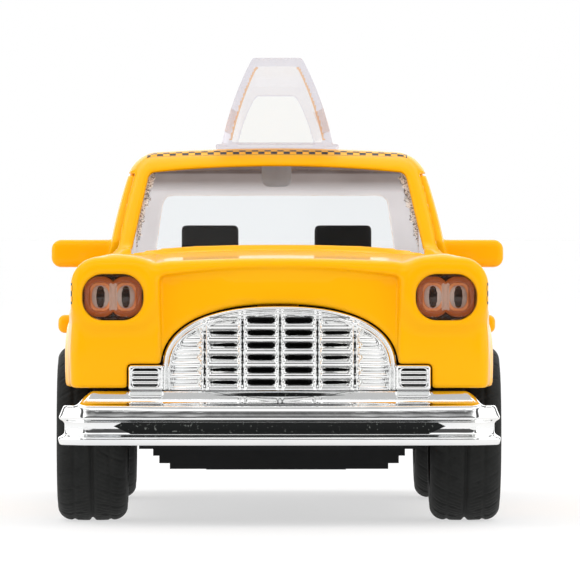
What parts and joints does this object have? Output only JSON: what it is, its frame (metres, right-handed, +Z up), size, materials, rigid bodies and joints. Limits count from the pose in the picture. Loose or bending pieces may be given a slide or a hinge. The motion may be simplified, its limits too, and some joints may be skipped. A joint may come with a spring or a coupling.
{
  "type": "friction toy car",
  "caption": "Die-cast toy taxi with opening front doors, rolling wheels, a flywheel friction motor and a tent-shaped roof sign.",
  "frame": {"origin": "centre of the overall box at ground level, under the middle of the car", "axes": "the car faces -Y, its left side is +X, and +Z is up"},
  "size_m": [0.0532, 0.127, 0.0537],
  "materials": {
    "paint": "gloss",
    "chrome": "mirror plated plastic",
    "glazing": "clear moulding",
    "lamp_clear": "clear moulding",
    "lamp_red": "gloss",
    "sign_clear": "frosted clear moulding",
    "interior": "matt",
    "base_plastic": "matt",
    "tyre": "matt",
    "hub": "mirror plated plastic",
    "steel": "satin",
    "gear_plastic": "matt",
    "brass": "satin",
    "flywheel_zinc": "as cast",
    "motor_plastic": "matt"
  },
  "bodies": {
    "car": {"body_shell": "paint", "hinge_pin_left": "steel", "hinge_pin_right": "steel", "cabin_glazing": "glazing", "interior_tub": "interior", "roof_sign": "sign_clear", "front_grille": "chrome", "front_bumper": "chrome", "rear_bumper": "chrome", "headlight_lens_left": "lamp_clear", "headlight_lens_right": "lamp_clear", "headlight_reflector_left": "chrome", "headlight_reflector_right": "chrome", "tail_light_left": "lamp_red", "tail_light_right": "lamp_red", "chassis": "base_plastic", "chassis_screws": "steel", "idler_spindle": "steel", "motor_housing_left": "motor_plastic", "motor_housing_right": "motor_plastic", "motor_screws": "steel"},
    "front_wheels": {"front_axle": "steel", "hub_front_left": "hub", "hub_front_right": "hub", "tyre_front_left": "tyre", "tyre_front_right": "tyre"},
    "rear_wheels": {"rear_axle": "steel", "hub_rear_left": "hub", "hub_rear_right": "hub", "tyre_rear_left": "tyre", "tyre_rear_right": "tyre", "axle_gear": "gear_plastic"},
    "idler": {"idler_gear": "gear_plastic"},
    "flywheel_set": {"flywheel": "flywheel_zinc", "flywheel_pinion": "brass", "flywheel_spindle": "steel"},
    "left_door": {"door_left": "paint"},
    "right_door": {"door_right": "paint"}
  },
  "joints": [
    {"name": "front_axle_spin", "type": "hinge", "parent": "car", "child": "front_wheels", "pos_m": [0, -0.042, 0.01], "axis": [1, 0, 0], "continuous": true},
    {"name": "rear_axle_spin", "type": "hinge", "parent": "car", "child": "rear_wheels", "pos_m": [0, 0.0342, 0.01], "axis": [1, 0, 0], "continuous": true},
    {"name": "idler_spin", "type": "hinge", "parent": "car", "child": "idler", "pos_m": [0, 0.0283, 0.01413], "axis": [1, 0, 0], "continuous": true},
    {"name": "flywheel_spin", "type": "hinge", "parent": "car", "child": "flywheel_set", "pos_m": [0, 0.02113, 0.0135], "axis": [1, 0, 0], "continuous": true},
    {"name": "left_door_swing", "type": "hinge", "parent": "car", "child": "left_door", "pos_m": [0.0229, -0.0187, 0.0175], "axis": [0, 0, -1], "range_deg": [0, 60]},
    {"name": "right_door_swing", "type": "hinge", "parent": "car", "child": "right_door", "pos_m": [-0.0229, -0.0187, 0.0175], "axis": [0, 0, 1], "range_deg": [0, 60]}
  ],
  "couplings": [
    {"joint": "idler_spin", "follows": "rear_axle_spin", "ratio": -2},
    {"joint": "flywheel_spin", "follows": "rear_axle_spin", "ratio": 6}
  ]
}
